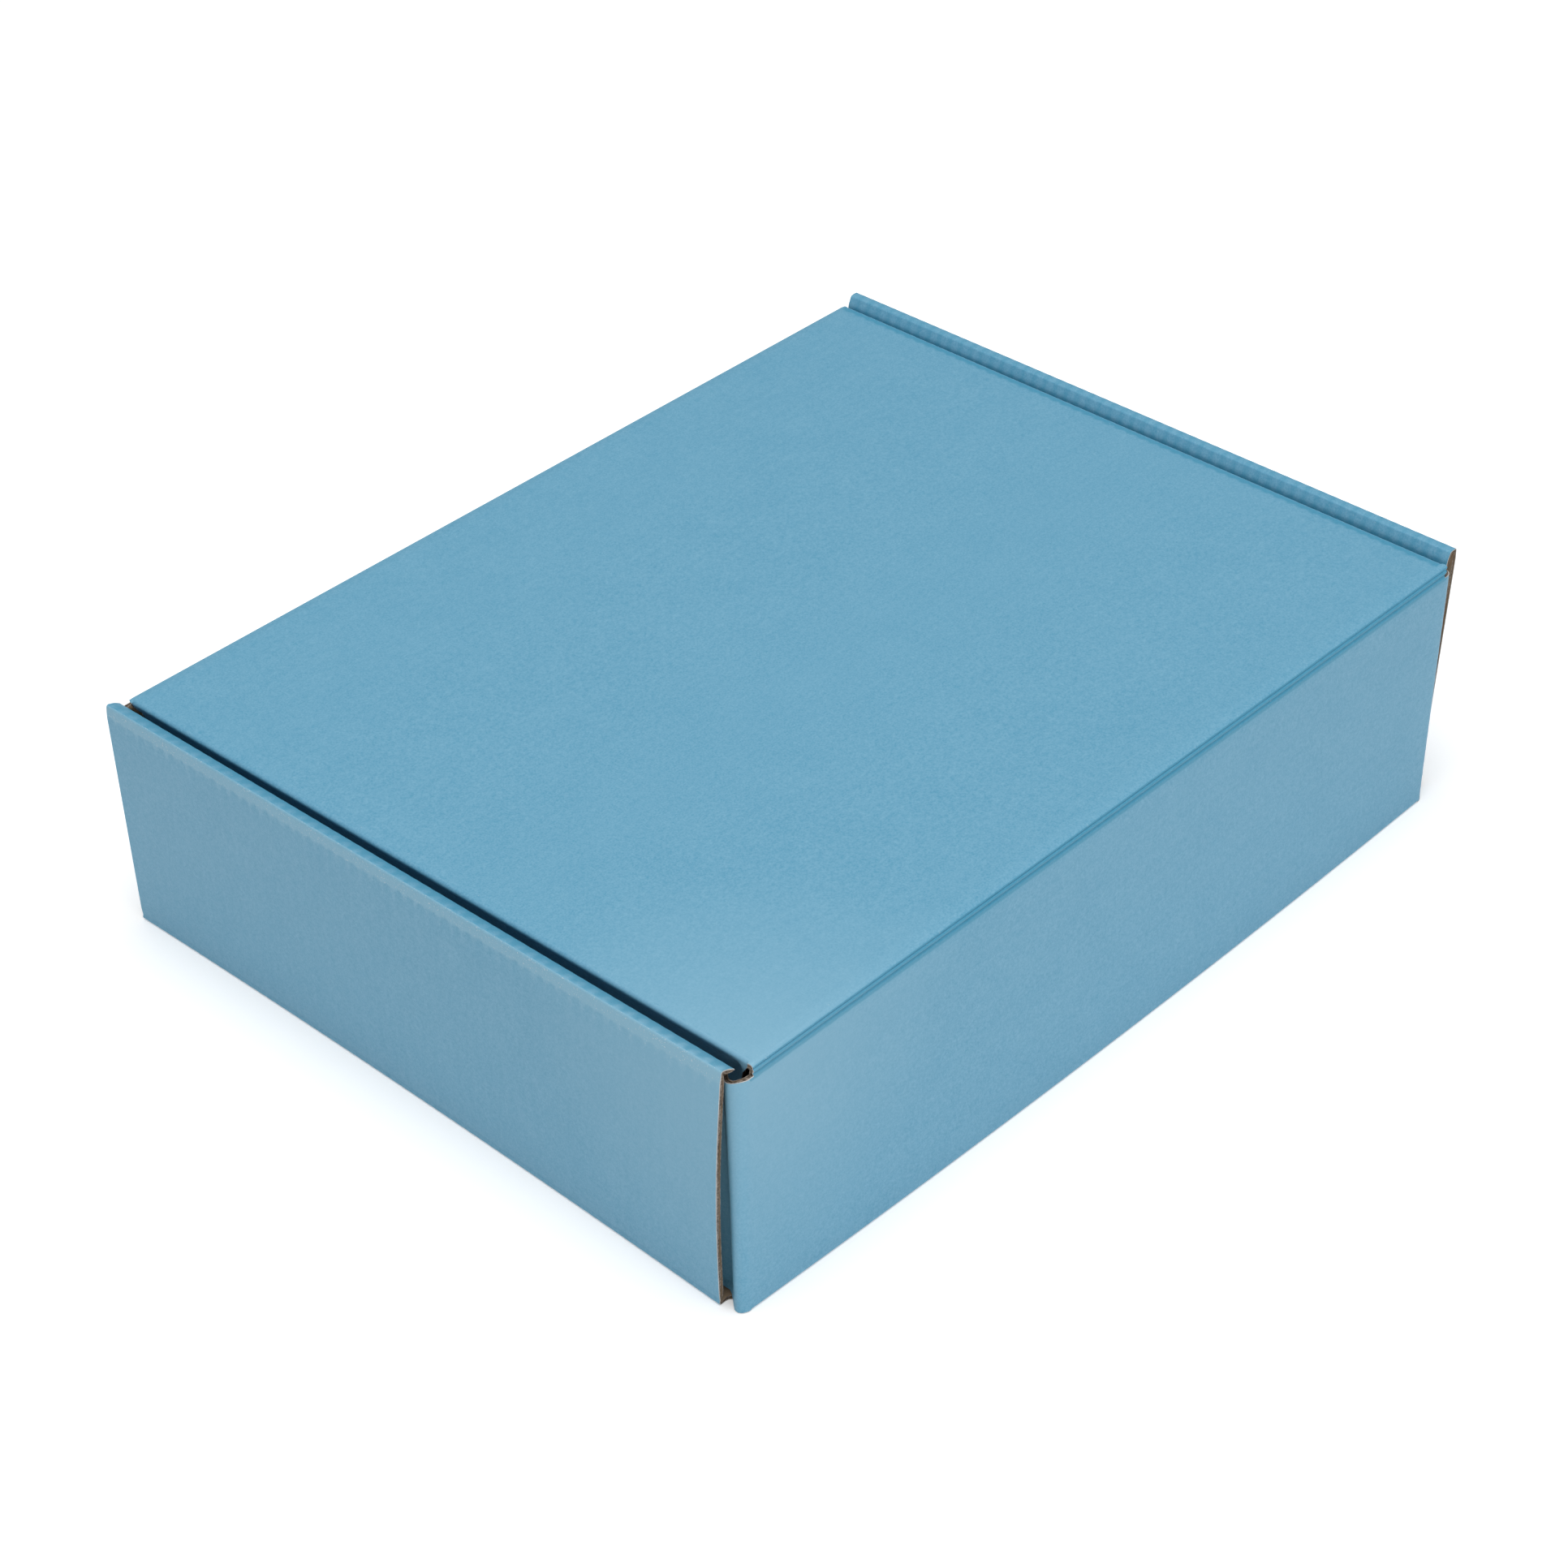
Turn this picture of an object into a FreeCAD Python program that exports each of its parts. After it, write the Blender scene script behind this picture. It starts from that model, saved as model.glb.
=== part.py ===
import FreeCAD, Part
import math
import os

from FreeCAD import Vector

# Corrugated mailer box, die-cut and folded from one sheet of fine-flute board.
# The tray has a bottom, a front and a back wall whose corner flaps turn round the
# corners, and two rolled side walls that fold over those flaps and lock into slots
# in the bottom. The lid hangs on the crease along the top of the back wall, lies
# between the rolled walls, and has a dust flap at each side and a front tuck flap.
# Lengths are in millimetres. X runs from side to side, the back wall is at +Y, +Z is
# up, and the origin is the middle of the bottom's underside.

# Board and folds
board = 1.5
fold_radius = 2.0
rest_gap = 0.3

# Overall size of the closed box
tray_width = 240.0
tray_depth = 189.5
roll_height = 61.5
lid_top = 59.4

# Rolled side walls. The lean is how far a wall's foot stands inside its top.
flap_play = 0.3
roll_inner_drop = 0.8
roll_setback = 3.5
lean_left = 1.0
lean_right = 3.4

# Front wall, corner flaps and their cut corners
front_top = 56.5
corner_flap_length = 62.0
corner_flap_lift = 1.0
corner_flap_drop = 0.6
corner_flap_taper = 8.0

# Tabs on the foot of each inner panel and their slots in the bottom
tab_width = 32.0
tab_spacing = 92.0
tab_recess = 0.3
slot_play = 0.4

# Lid, dust flaps and tuck flap
lid_side_gap = 0.4
dust_flap_height = 44.0
dust_flap_lean = 5.0
dust_flap_rear_notch = 4.0
dust_flap_taper = 16.0
dust_flap_front_gap = 0.6
tuck_height = 36.0
tuck_lean = 4.6
tuck_side_gap = 2.0
tuck_corner = 12.0
tuck_front_gap = 0.5
hinge_end_gap = 0.6
hinge_tail = 0.3

# Sizes that follow from the ones above
roll_width = 3.0 * board + 2.0 * flap_play
half_width = tray_width / 2.0
half_depth = tray_depth / 2.0
wall_end = half_depth - roll_setback
inner_top_height = roll_height - roll_inner_drop
panel_foot = board + rest_gap
flap_inset = board + flap_play
flap_foot = fold_radius + corner_flap_lift
hinge_foot = lid_top - fold_radius - hinge_tail
back_top = hinge_foot - rest_gap
lid_half_width = half_width - roll_width - lid_side_gap
front_inside = half_depth - board
lid_front = front_inside - tuck_front_gap
tuck_foot = lid_top - tuck_height
dust_foot = lid_top - dust_flap_height


def turned_left(direction):
    """A direction turned a quarter turn anticlockwise in its own plane."""
    return (-direction[1], direction[0])


def moved(point, direction, distance):
    """A plane point moved along a direction."""
    return (point[0] + direction[0] * distance, point[1] + direction[1] * distance)


def directions(points):
    """The unit direction of each run of a polyline."""
    runs = []
    for start, end in zip(points, points[1:]):
        length = math.hypot(end[0] - start[0], end[1] - start[1])
        runs.append(((end[0] - start[0]) / length, (end[1] - start[1]) / length))
    return runs


def folded_section(points, to_space):
    """The section of a sheet folded anticlockwise along a line of printed-face corners.

    points are the corners of the printed face, and the board lies to their left.
    to_space turns a plane point into a point in space.
    """
    runs = directions(points)
    outer = [to_space(points[0])]
    inner = [to_space(moved(points[0], turned_left(runs[0]), board))]
    outer_edges = []
    inner_edges = []
    for corner, before, after in zip(points[1:-1], runs, runs[1:]):
        turn = math.acos(before[0] * after[0] + before[1] * after[1])
        reach = fold_radius * math.tan(turn / 2.0)
        side_before = turned_left(before)
        side_after = turned_left(after)
        start = moved(corner, before, -reach)
        centre = moved(start, side_before, fold_radius)
        across = (side_before[0] + side_after[0], side_before[1] + side_after[1])
        size = math.hypot(across[0], across[1])
        middle = (across[0] / size, across[1] / size)
        for radius, line, edges in (
            (fold_radius, outer, outer_edges),
            (fold_radius - board, inner, inner_edges),
        ):
            arc = [
                to_space(moved(centre, side, -radius))
                for side in (side_before, middle, side_after)
            ]
            edges.append(Part.LineSegment(line[-1], arc[0]).toShape())
            edges.append(Part.Arc(arc[0], arc[1], arc[2]).toShape())
            line.append(arc[2])
    outer_end = to_space(points[-1])
    inner_end = to_space(moved(points[-1], turned_left(runs[-1]), board))
    outer_edges.append(Part.LineSegment(outer[-1], outer_end).toShape())
    inner_edges.append(Part.LineSegment(inner[-1], inner_end).toShape())
    caps = [
        Part.LineSegment(outer[0], inner[0]).toShape(),
        Part.LineSegment(outer_end, inner_end).toShape(),
    ]
    edges = Part.sortEdges(outer_edges + inner_edges + caps)[0]
    return Part.Face(Part.Wire(edges))


def prism(outline, along):
    """A solid from a list of corner points in space, drawn out along a vector."""
    corners = [Vector(*point) for point in outline]
    return Part.Face(Part.makePolygon(corners + corners[:1])).extrude(along)


def block(low, high):
    """A box between two corners."""
    size = [top - bottom for bottom, top in zip(low, high)]
    return Part.makeBox(size[0], size[1], size[2], Vector(*low))


def mirrored_in_x(shape):
    """The shape seen in a mirror that stands across the X axis."""
    return shape.mirror(Vector(0, 0, 0), Vector(1, 0, 0))


def mirrored_in_y(shape):
    """The shape seen in a mirror that stands across the Y axis."""
    return shape.mirror(Vector(0, 0, 0), Vector(0, 1, 0))


def leaning_x(top_x, height, lean):
    """Where a line that leans with a side wall stands at a height."""
    return top_x - lean * (roll_height - height) / roll_height


def rolled_side(lean):
    """Half the bottom with the rolled wall at +X."""
    printed = [
        (0.0, 0.0),
        (half_width - lean, 0.0),
        (half_width, roll_height),
        (half_width - roll_width, inner_top_height),
        (leaning_x(half_width - roll_width, panel_foot, lean), panel_foot),
    ]
    section = folded_section(printed, lambda p: Vector(p[0], -wall_end, p[1]))
    return section.extrude(Vector(0, 2.0 * wall_end, 0))


def tabs_and_slots(lean):
    """The tabs on the foot of the inner panel at +X, and the slots that they enter."""
    foot_x = leaning_x(half_width - roll_width, panel_foot, lean)
    end_x = leaning_x(half_width - roll_width, tab_recess, lean)
    tabs = []
    slots = []
    for middle in (-tab_spacing / 2.0, tab_spacing / 2.0):
        low_y = middle - tab_width / 2.0
        high_y = middle + tab_width / 2.0
        outline = [
            (foot_x, low_y, panel_foot),
            (foot_x + board, low_y, panel_foot),
            (end_x + board, low_y, tab_recess),
            (end_x, low_y, tab_recess),
        ]
        tabs.append(prism(outline, Vector(0, tab_width, 0)))
        slot_low = (end_x - slot_play, low_y - slot_play, -board)
        slot_high = (foot_x + board + slot_play, high_y + slot_play, board + rest_gap / 2.0)
        slots.append(block(slot_low, slot_high))
    return tabs, slots


def half_end_wall(wall_top, lean):
    """The wall at +Y on the +X side, with its fold from the bottom and its corner flap."""
    corner_x = leaning_x(half_width - flap_inset, flap_foot, lean)
    bend_foot = leaning_x(half_width - flap_inset, 0.0, lean) - fold_radius
    printed = [(0.0, 0.0), (half_depth, 0.0), (half_depth, flap_foot)]
    section = folded_section(printed, lambda p: Vector(0, p[0], p[1]))
    floor = section.extrude(Vector(bend_foot, 0, 0))

    far_y = half_depth - corner_flap_length
    printed = [(corner_x, far_y), (corner_x, half_depth), (-half_width / 2.0, half_depth)]
    plan = folded_section(printed, lambda p: Vector(p[0], p[1], flap_foot))
    rise = wall_top - flap_foot
    wall = plan.extrude(Vector(lean * rise / roll_height, 0, rise))

    flap_top = wall_top - corner_flap_drop
    inside_x = corner_x - 2.0 * fold_radius
    across = Vector(half_width + board - inside_x, 0, 0)
    over_flap = block(
        (inside_x, far_y - board, flap_top),
        (half_width + board, half_depth - fold_radius, wall_top + board),
    )
    wall = wall.cut(over_flap)
    for corner_z, rise in ((flap_foot, corner_flap_taper), (flap_top, -corner_flap_taper)):
        outline = [
            (inside_x, far_y, corner_z),
            (inside_x, far_y + corner_flap_taper, corner_z),
            (inside_x, far_y, corner_z + rise),
        ]
        wall = wall.cut(prism(outline, across))
    return floor.fuse(wall)


def make_tray():
    """The tray: bottom, rolled side walls, front and back walls and corner flaps."""
    halves = []
    tabs = []
    slots = []
    for lean, place in ((lean_left, lambda shape: shape), (lean_right, mirrored_in_x)):
        back = half_end_wall(back_top, lean)
        front = mirrored_in_y(half_end_wall(front_top, lean))
        halves += [place(shape) for shape in (rolled_side(lean), back, front)]
        side_tabs, side_slots = tabs_and_slots(lean)
        tabs += [place(shape) for shape in side_tabs]
        slots += [place(shape) for shape in side_slots]
    sheet = halves[0].multiFuse(halves[1:])
    for slot in slots:
        sheet = sheet.cut(slot)
    return sheet.multiFuse(tabs).removeSplitter()


def make_lid():
    """The lid: top panel, hinge crease, dust flaps and tuck flap."""
    printed = [
        (lid_half_width - dust_flap_lean, dust_foot),
        (lid_half_width, lid_top),
        (-lid_half_width, lid_top),
        (-lid_half_width + dust_flap_lean, dust_foot),
    ]
    rear_y = half_depth - fold_radius - dust_flap_rear_notch
    front_y = -(lid_front - board - dust_flap_front_gap)
    section = folded_section(printed, lambda p: Vector(p[0], front_y, p[1]))
    across = section.extrude(Vector(0, rear_y - front_y, 0))
    crease_foot = lid_top - fold_radius
    for edge_y, slope in ((front_y, dust_flap_taper), (rear_y, -dust_flap_taper)):
        taper = prism(
            [
                (-half_width, edge_y, crease_foot),
                (-half_width, edge_y, dust_foot - board),
                (-half_width, edge_y + slope, dust_foot - board),
            ],
            Vector(tray_width, 0, 0),
        )
        across = across.cut(taper)

    printed = [
        (half_depth, hinge_foot),
        (half_depth, lid_top),
        (-lid_front, lid_top),
        (-lid_front + tuck_lean, tuck_foot),
    ]
    hinge_half = lid_half_width - hinge_end_gap
    section = folded_section(printed, lambda p: Vector(-hinge_half, p[0], p[1]))
    along = section.extrude(Vector(2.0 * hinge_half, 0, 0))
    tuck_half = lid_half_width - board - tuck_side_gap
    below = tuck_foot - board
    for side in (-1.0, 1.0):
        corner = prism(
            [
                (side * tuck_half, -half_depth, crease_foot),
                (side * (tuck_half - tuck_corner / 4.0), -half_depth, tuck_foot + tuck_corner),
                (side * (tuck_half - tuck_corner), -half_depth, tuck_foot),
                (side * (tuck_half - tuck_corner), -half_depth, below),
                (side * half_width, -half_depth, below),
                (side * half_width, -half_depth, crease_foot),
            ],
            Vector(0, board + fold_radius + tuck_lean + board, 0),
        )
        along = along.cut(corner)
    return across.fuse(along).removeSplitter()


def main():
    """Build both pieces and write one file for each."""
    os.makedirs("parts", exist_ok=True)
    for name, shape in (("tray", make_tray()), ("lid", make_lid())):
        solids = shape.Solids
        print(name, "solids", len(solids), "valid", shape.isValid(), "volume", round(shape.Volume, 1))
        result = solids[0] if len(solids) == 1 else shape
        result.exportStep("parts/" + name + ".step")


main()
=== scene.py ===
import math

import bmesh
import bpy
import numpy as np
from mathutils import Matrix, Vector


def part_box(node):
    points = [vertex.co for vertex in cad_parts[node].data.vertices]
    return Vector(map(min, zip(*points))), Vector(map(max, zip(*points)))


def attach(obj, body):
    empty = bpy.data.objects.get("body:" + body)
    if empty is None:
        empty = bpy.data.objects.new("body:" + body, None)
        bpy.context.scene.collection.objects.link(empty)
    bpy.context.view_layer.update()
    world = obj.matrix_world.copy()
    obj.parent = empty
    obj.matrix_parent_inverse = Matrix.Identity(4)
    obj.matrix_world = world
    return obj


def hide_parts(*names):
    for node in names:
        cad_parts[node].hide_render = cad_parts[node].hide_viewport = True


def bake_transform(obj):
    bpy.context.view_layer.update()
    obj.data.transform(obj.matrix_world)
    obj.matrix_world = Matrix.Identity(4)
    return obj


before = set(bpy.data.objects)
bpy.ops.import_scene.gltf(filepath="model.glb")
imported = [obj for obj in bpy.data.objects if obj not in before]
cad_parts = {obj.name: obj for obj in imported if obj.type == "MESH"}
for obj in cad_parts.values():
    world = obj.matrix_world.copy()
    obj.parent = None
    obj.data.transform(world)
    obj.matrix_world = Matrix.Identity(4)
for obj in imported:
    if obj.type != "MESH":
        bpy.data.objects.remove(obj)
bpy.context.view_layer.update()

# Corrugated mailer box, folded from one printed sheet. Lengths are in millimetres until
# a mesh is made. X runs from side to side, the back wall with the lid's crease is at +Y.
MM = 0.001

# Board and folds
BOARD = 1.5
LINER = 0.24
MEDIUM = 0.2
FLUTE_PITCH = 3.4
FOLD_RADIUS = 1.6
FOOT_RADIUS = 0.7
ROLL_RADIUS = 0.85
SIDE_RADIUS = 1.2
CORNER_RADIUS = 3.0
CREASE_REACH = 2.6
CREASE_SHARES = (0.0, 0.25, 0.55, 1.0)
CRUSH = 0.26
EDGE_PINCH = 0.2
THINNEST_EDGE = 0.62
REST_GAP = 0.3

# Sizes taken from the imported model
TRAY_LOW, TRAY_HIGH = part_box("tray")
LID_LOW, LID_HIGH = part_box("lid")
HALF_DEPTH = TRAY_HIGH.y / MM
LID_TOP = LID_HIGH.z / MM
LID_FRONT = -LID_LOW.y / MM

# Rolled side walls
HALF_WIDTH = 120.0
ROLL_HEIGHT = 61.5
ROLL_WIDTH = 5.1
# The top strip's creases, as (inward, down) from the top of each wall's outer panel. The
# strip slopes gently on the +X wall. On the -X wall it lies level and then turns steeply down.
ROLL_STRIP = {1: [(4.3, 2.0)], -1: [(2.9, 0.1), (4.2, 4.0)]}
PANEL_TAPER = 4.0
# How far below its crease each inner panel's back end takes to narrow by that much
TAPER_REACH = {1: 4.0, -1: 18.0}
WALL_END = HALF_DEPTH - 3.5
LEAN_LEFT = 1.0
LEAN_RIGHT = 3.4
PANEL_FOOT = BOARD + REST_GAP
TAB_FOOT = 0.3
TAB_MIDDLE = 46.0
TAB_HALF = 16.0
TAPER_START = TAB_MIDDLE + 24.0
SLOT_PLAY = 0.4

# End walls and corner flaps
FLAP_INSET = 1.8
FLAP_FOOT = 0.9
FLAP_RISE = 1.0
CORNER_LOW = 0.7
FLAP_LENGTH = 62.0
FLAP_END = HALF_DEPTH - FLAP_LENGTH
FLAP_TAPER = 8.0
FLAP_DROP = 0.6
BACK_TOP = LID_TOP - 2.6
FRONT_TOP = 55.7
BEND_FOOT = HALF_WIDTH - FLAP_INSET - CORNER_RADIUS - 0.2
BEND_FOOT_LEFT = BEND_FOOT - LEAN_LEFT
BEND_FOOT_RIGHT = BEND_FOOT - LEAN_RIGHT

# Painted light on the print at the top of a rolled wall: a pale band under the outer crease, a painted
# highlight and partly crushed print, and a deep band of painted shade beside the inner crease
TONED_ABOVE = ROLL_HEIGHT - 8.0
PALE_BAND_TOP = ROLL_HEIGHT - 2.6
PALE_BAND_REACH = 2.4
DEEP_BAND_REACH = 2.2

# Lid
LID_HALF = HALF_WIDTH - ROLL_WIDTH - 0.4
HINGE_HALF = LID_HALF - 0.3
HINGE_LINE = HALF_DEPTH - 2.0
DUST_HEIGHT = 44.0
DUST_LEAN = 5.0
DUST_TAPER = 16.0
DUST_BACK = HINGE_LINE - 1.5
DUST_FRONT = -(LID_FRONT - BOARD - 0.6)
TUCK_HEIGHT = 36.0
TUCK_LEAN = 4.6
TUCK_HALF = LID_HALF - BOARD - 2.0
TUCK_CORNER = 12.0

# Relief of the board: flutes that show through, more so in a fold, how deep a cut edge
# is open across and along the flutes, and the lines scored along the lid's crease
RIPPLE = 0.02
FOLD_RIPPLE = 0.014
FLUTE_DEPTH = 2.0
STEPS_PER_FLUTE = 12.0
PLAIN_EDGE_DEPTH = 0.35
SCORE_LINES = (0.5, 1.6)
SCORE_DEPTH = 0.28
SCORE_WIDTH = 0.24


def leaning(top_x, height, lean):
    """Where a line that leans with a side wall stands at a height."""
    return top_x - lean * (ROLL_HEIGHT - height) / ROLL_HEIGHT


def spaced(start, end, step):
    """Evenly spaced values from start to end, no further apart than step."""
    count = max(1, math.ceil(abs(end - start) / step - 1e-6))
    return [start + (end - start) * i / count for i in range(count + 1)]


def merged(*rows):
    """One rising list of values from several, each value once."""
    values = sorted(v for row in rows for v in row)
    kept = [values[0]]
    for value in values[1:]:
        if value - kept[-1] > 0.05:
            kept.append(value)
    return kept


def smooth(value, low, high):
    """A soft step from 0 at low to 1 at high."""
    t = np.clip((np.asarray(value, float) - low) / (high - low), 0.0, 1.0)
    return t * t * (3.0 - 2.0 * t)


def near_crease(gap, reach=CREASE_REACH):
    """1 at a crease, falling to 0 at the reach of its crushed board."""
    return max(0.0, 1.0 - max(0.0, gap) / reach) ** 1.4


def crush_at(gap):
    """How far the board is crushed at a distance from a crease."""
    return CRUSH * near_crease(gap)


def pinch_of(radius):
    """How much thinner the board is, on its inner side, in a crease of this radius."""
    return max(0.0, BOARD - CRUSH - 0.94 * radius)


class Station:
    """A place on a folded line.

    It has its point, the side the board lies on, how folded the board is there, the length
    run so far, how far the board is crushed from outside and pinched from inside, and the
    tone painted into the print, from painted shade (-1) to painted highlight (1).
    """

    def __init__(self, point, side, fold, run, crush=0.0, pinch=0.0):
        self.point = point
        self.side = side
        self.fold = fold
        self.run = run
        self.crush = crush
        self.pinch = pinch
        self.tone = 0.0


def crease_spaced(length, step, creased):
    """Distances along a straight run, closer together beside its creases."""
    if length < CREASE_REACH * 2.2:
        return spaced(0.0, length, min(step, 0.7))
    near = [CREASE_REACH * share for share in CREASE_SHARES]
    start = near if creased[0] else [0.0]
    end = [length - gap for gap in near] if creased[1] else [length]
    return merged(start, spaced(start[-1], min(end), step), end)


def folded_line(corners, steps, radii, arc_steps=8, open_ends=False):
    """Stations along a line folded anticlockwise at its inner corners, board on its left.

    Each inner corner has its own radius. With open_ends the line goes on in another patch,
    so its ends keep their crush.
    """
    pinches = [pinch_of(radius) for radius in radii]
    runs = []
    for start, end in zip(corners, corners[1:]):
        length = math.dist(start, end)
        runs.append(((end[0] - start[0]) / length, (end[1] - start[1]) / length))
    stations = []
    walked = 0.0
    begin = corners[0]
    last = len(runs) - 1
    for k, run in enumerate(runs):
        side = (-run[1], run[0])
        stop = corners[-1]
        if k < last:
            after = runs[k + 1]
            turn = math.acos(max(-1.0, min(1.0, run[0] * after[0] + run[1] * after[1])))
            radius = radii[k]
            reach = radius * math.tan(turn / 2.0)
            stop = (corners[k + 1][0] - run[0] * reach, corners[k + 1][1] - run[1] * reach)
        length = math.dist(begin, stop)
        creased = (k > 0, k < last)
        crush_reach = CREASE_REACH
        if k in (0, last) and not open_ends:
            crush_reach = min(CREASE_REACH, max(length, 0.01))
        for t in crease_spaced(length, steps[k], creased):
            place = (begin[0] + run[0] * t, begin[1] + run[1] * t)
            shares = [
                (near_crease(gap, crush_reach), pinches[corner])
                for gap, near, corner in ((t, creased[0], k - 1), (length - t, creased[1], k))
                if near
            ]
            crush = CRUSH * max([share for share, _ in shares], default=0.0)
            pinch = max([share * amount for share, amount in shares], default=0.0)
            stations.append(Station(place, side, 0.0, walked + t, crush, pinch))
        walked += length
        if k < last:
            centre = (stop[0] + side[0] * radius, stop[1] + side[1] * radius)
            for i in range(1, arc_steps):
                angle = turn * i / arc_steps
                c, s = math.cos(angle), math.sin(angle)
                turned = (side[0] * c - side[1] * s, side[0] * s + side[1] * c)
                place = (centre[0] - turned[0] * radius, centre[1] - turned[1] * radius)
                bend = math.sin(math.pi * i / arc_steps)
                at = walked + angle * radius
                stations.append(Station(place, turned, bend, at, CRUSH, pinches[k]))
            walked += turn * radius
            end_side = (-after[1], after[0])
            begin = (centre[0] - end_side[0] * radius, centre[1] - end_side[1] * radius)
    fresh = [stations[0]]
    for station in stations[1:]:
        if math.dist(station.point, fresh[-1].point) > 1e-4:
            fresh.append(station)
    return fresh


class PrintedFace:
    """The printed face of a folded sheet, as a mesh whose board lies behind it."""

    def __init__(self):
        self.points = []
        self.sides = []
        self.flat = []
        self.folds = []
        self.crushes = []
        self.pinches = []
        self.tones = []
        self.rolled = []
        self.faces = []
        self.found = {}

    def vertex(self, point, side, flat, fold, crush, pinch, tone, rolled):
        """The number of the vertex at a point, once pressed in by its crush."""
        point = tuple(p + s * crush for p, s in zip(point, side))
        key = tuple(round(c * 500.0) for c in point)
        if key not in self.found:
            self.found[key] = len(self.points)
            self.points.append(point)
            self.sides.append(side)
            self.flat.append(flat)
            self.folds.append(fold)
            self.crushes.append(crush)
            self.pinches.append(pinch)
            self.tones.append(tone)
            self.rolled.append(rolled)
        return self.found[key]

    def grid(self, rows, columns, place, keep=None, rolled=0.0):
        """Faces over rows and columns.

        place gives the point, the side the board lies on, its place in the flat sheet, how
        folded, crushed and pinched it is, and its painted tone from painted shade (-1) to painted
        highlight (1).
        """
        ids = [[self.vertex(*place(r, c), rolled) for c in columns] for r in rows]
        for i in range(len(rows) - 1):
            for j in range(len(columns) - 1):
                if keep is not None and not keep(rows[i], rows[i + 1], columns[j], columns[j + 1]):
                    continue
                quad = [ids[i][j], ids[i][j + 1], ids[i + 1][j + 1], ids[i + 1][j]]
                if len(set(quad)) < 4:
                    continue
                a, b, c = (np.array(self.points[q]) for q in quad[:3])
                if np.dot(np.cross(b - a, c - b), np.array(self.sides[quad[0]])) > 0.0:
                    quad.reverse()
                self.faces.append(quad)


# How this box has settled: millimetres out of true at each corner, named by its sides
# (+X or -X, +Y or -Y), at the foot and at the top of the walls.
END_WALL_SETTLE = {
    (1, 1): ((2.9, 0.5, 0.0), (-1.6, 0.1, 1.0)),
    (-1, 1): ((6.2, 0.7, 0.0), (1.6, -1.5, 0.95)),
    (1, -1): ((-0.5, -0.3, 0.0), (-0.1, 0.0, 0.0)),
    (-1, -1): ((1.5, 0.2, 0.0), (-0.8, 0.9, 0.1)),
}
SIDE_WALL_SETTLE = {
    (1, 1): ((1.55, -1.4, 0.0), (-0.9, 0.7, 0.2)),
    (-1, 1): ((3.1, -0.5, 0.0), (0.7, 0.2, 0.6)),
    (1, -1): ((-0.8, -2.1, 0.0), (0.0, -0.6, -0.3)),
    (-1, -1): ((1.5, 0.0, 0.0), (0.2, 0.3, 0.0)),
}
LID_SETTLE = {
    (1, 1): (-1.45, 0.2, 1.0),
    (-1, 1): (0.2, -1.6, 1.0),
    (1, -1): (-0.1, -0.2, 0.0),
    (-1, -1): (-1.1, 0.1, 0.1),
}
# How far the feet of two walls and the end of one outer panel bow
SIDE_FOOT_BOW = -1.1
BACK_FOOT_BOW = 1.9
PANEL_END_BOW = 1.1
# How far the near corner's flap dips, and how far the dust flaps are pulled in
FLAP_DIP = 2.2
FLAP_TUCKED = 1.8


# Bands over which one panel's move gives way to the next one's: from the middle of the box
# outwards, or up from the floor
END_WALL_BAND = (88.5, HALF_DEPTH - 0.6)
BACK_FOOT_BAND = (86.0, 94.0)
SIDE_FOOT_BAND = (112.0, 117.0)
OUTER_PANEL_BAND = (115.8, 117.5)
PANEL_END_BAND = (20.0, WALL_END)
DIP_BAND = (85.0, 88.5)
DIP_END_BAND = (88.5, 91.6)
FLAP_BAND = (112.0, 115.5)
FLAP_FOOT_BAND = (1.5, 3.5)
# The same for the lid's dust flaps: down from the lid, across it and along it
DUST_TOP_BAND = (0.9, 4.5)
DUST_SIDE_BAND = (100.0, 106.0)
DUST_END_BAND = (89.0, 91.5)


def corner_shift(points, table):
    """Corner moves spread evenly over the box between its corners.

    A corner moves as one, or by one move at its foot and another at its top.
    """
    sx = np.clip(points[:, 0] / HALF_WIDTH, -1.0, 1.0)
    sy = np.clip(points[:, 1] / HALF_DEPTH, -1.0, 1.0)
    h = np.clip(points[:, 2] / ROLL_HEIGHT, 0.0, 1.0)[:, None]
    moved = np.zeros_like(points)
    for (x_side, y_side), shifts in table.items():
        weight = ((1 + x_side * sx) / 2 * (1 + y_side * sy) / 2)[:, None]
        foot, top = np.broadcast_to(np.array(shifts), (2, 3))
        moved += weight * (foot * (1 - h) + top * h)
    return moved


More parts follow.
